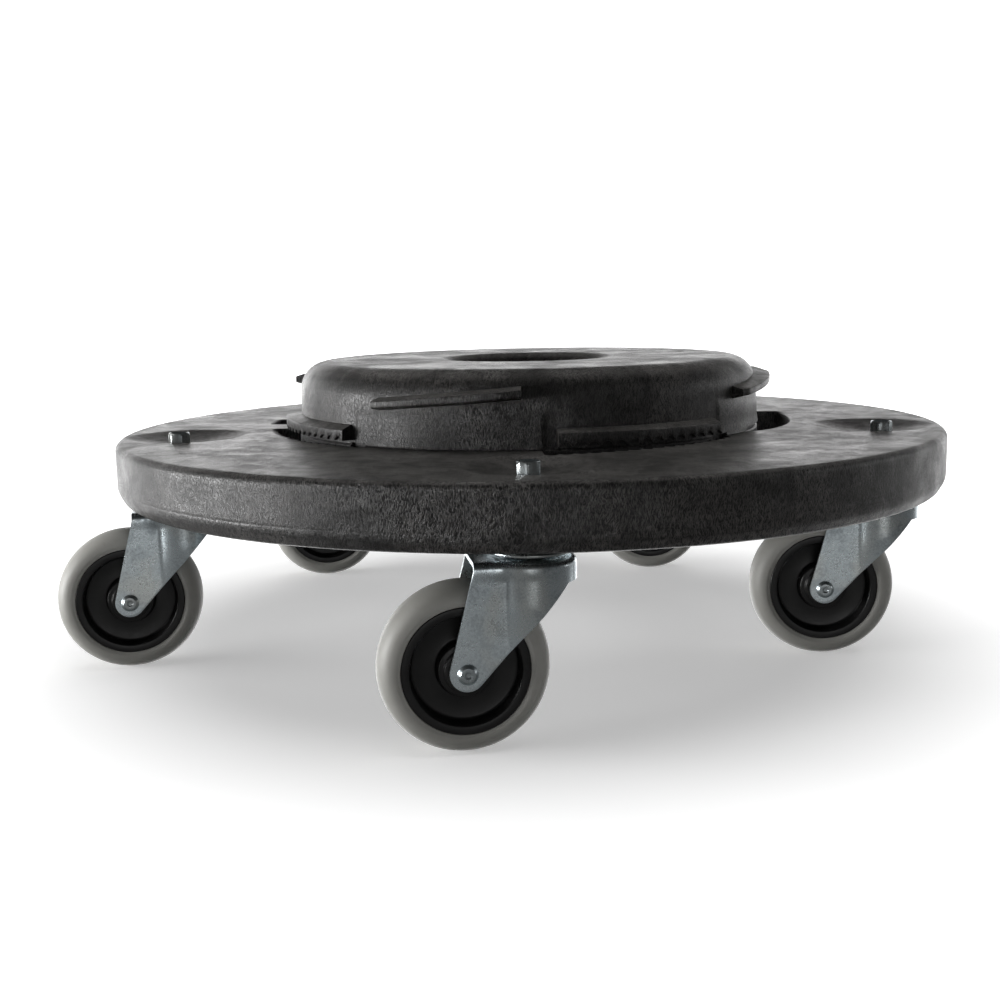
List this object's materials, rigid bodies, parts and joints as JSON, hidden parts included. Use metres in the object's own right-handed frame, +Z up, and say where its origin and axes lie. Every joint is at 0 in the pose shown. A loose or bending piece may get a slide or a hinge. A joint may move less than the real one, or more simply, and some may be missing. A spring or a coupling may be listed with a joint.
{
  "type": "twist-lock container dolly",
  "caption": "Round moulded dolly with a raised twist-lock hub, carried on swivel casters with grey tyres, for a round waste container.",
  "frame": {"origin": "on the floor, under the middle of the whole footprint; the deck's axis stands 11.8 mm to the +X of it, because the trailing wheels reach out past the deck on -X", "axes": "+Z up; -Y towards the front caster, the one nearest the viewer; +X to the viewer's right"},
  "size_m": [0.4872, 0.4636, 0.161],
  "materials": {
    "deck_plastic": "charcoal structural-foam moulding with swirled flow marks",
    "core_plastic": "black satin moulding",
    "tyre_rubber": "pale grey non-marking rubber, matt",
    "zinc_steel": "bluish zinc plate, mottled",
    "bolt_steel": "bright zinc plate",
    "bushing_plastic": "natural nylon"
  },
  "bodies": {
    "deck_body": {"deck": "deck_plastic", "bolt_front": "bolt_steel", "top_race_front": "bolt_steel", "ball_ring_front": "bolt_steel", "kingpin_front": "zinc_steel", "nut_front": "zinc_steel", "bolt_right": "bolt_steel", "top_race_right": "bolt_steel", "ball_ring_right": "bolt_steel", "kingpin_right": "zinc_steel", "nut_right": "zinc_steel", "bolt_back_right": "bolt_steel", "top_race_back_right": "bolt_steel", "ball_ring_back_right": "bolt_steel", "kingpin_back_right": "zinc_steel", "nut_back_right": "zinc_steel", "bolt_back_left": "bolt_steel", "top_race_back_left": "bolt_steel", "ball_ring_back_left": "bolt_steel", "kingpin_back_left": "zinc_steel", "nut_back_left": "zinc_steel", "bolt_left": "bolt_steel", "top_race_left": "bolt_steel", "ball_ring_left": "bolt_steel", "kingpin_left": "zinc_steel", "nut_left": "zinc_steel"},
    "swivel_front": {"fork_front": "zinc_steel", "axle_front": "bolt_steel", "bushing_front": "bushing_plastic"},
    "wheel_front": {"wheel_core_front": "core_plastic", "tyre_front": "tyre_rubber"},
    "swivel_right": {"fork_right": "zinc_steel", "axle_right": "bolt_steel", "bushing_right": "bushing_plastic"},
    "wheel_right": {"wheel_core_right": "core_plastic", "tyre_right": "tyre_rubber"},
    "swivel_back_right": {"fork_back_right": "zinc_steel", "axle_back_right": "bolt_steel", "bushing_back_right": "bushing_plastic"},
    "wheel_back_right": {"wheel_core_back_right": "core_plastic", "tyre_back_right": "tyre_rubber"},
    "swivel_back_left": {"fork_back_left": "zinc_steel", "axle_back_left": "bolt_steel", "bushing_back_left": "bushing_plastic"},
    "wheel_back_left": {"wheel_core_back_left": "core_plastic", "tyre_back_left": "tyre_rubber"},
    "swivel_left": {"fork_left": "zinc_steel", "axle_left": "bolt_steel", "bushing_left": "bushing_plastic"},
    "wheel_left": {"wheel_core_left": "core_plastic", "tyre_left": "tyre_rubber"}
  },
  "joints": [
    {"name": "swivel_front_turn", "type": "hinge", "parent": "deck_body", "child": "swivel_front", "pos_m": [0.01183, -0.1982, 0.086], "axis": [0, 0, 1], "continuous": true},
    {"name": "wheel_front_spin", "type": "hinge", "parent": "swivel_front", "child": "wheel_front", "pos_m": [-0.01799, -0.20357, 0.0381], "axis": [-0.1771, 0.9842, 0], "continuous": true},
    {"name": "swivel_right_turn", "type": "hinge", "parent": "deck_body", "child": "swivel_right", "pos_m": [0.20033, -0.06125, 0.086], "axis": [0, 0, 1], "continuous": true},
    {"name": "wheel_right_spin", "type": "hinge", "parent": "swivel_right", "child": "wheel_right", "pos_m": [0.17008, -0.05945, 0.0381], "axis": [0.0593, 0.9982, 0], "continuous": true},
    {"name": "swivel_back_right_turn", "type": "hinge", "parent": "deck_body", "child": "swivel_back_right", "pos_m": [0.12833, 0.16035, 0.086], "axis": [0, 0, 1], "continuous": true},
    {"name": "wheel_back_right_spin", "type": "hinge", "parent": "swivel_back_right", "child": "wheel_back_right", "pos_m": [0.09803, 0.15982, 0.0381], "axis": [-0.0175, 0.9998, 0], "continuous": true},
    {"name": "swivel_back_left_turn", "type": "hinge", "parent": "deck_body", "child": "swivel_back_left", "pos_m": [-0.10467, 0.16035, 0.086], "axis": [0, 0, 1], "continuous": true},
    {"name": "wheel_back_left_spin", "type": "hinge", "parent": "swivel_back_left", "child": "wheel_back_left", "pos_m": [-0.13419, 0.15353, 0.0381], "axis": [-0.225, 0.9744, 0], "continuous": true},
    {"name": "swivel_left_turn", "type": "hinge", "parent": "deck_body", "child": "swivel_left", "pos_m": [-0.17667, -0.06125, 0.086], "axis": [0, 0, 1], "continuous": true},
    {"name": "wheel_left_spin", "type": "hinge", "parent": "swivel_left", "child": "wheel_left", "pos_m": [-0.20599, -0.06889, 0.0381], "axis": [-0.2521, 0.9677, 0], "continuous": true}
  ]
}
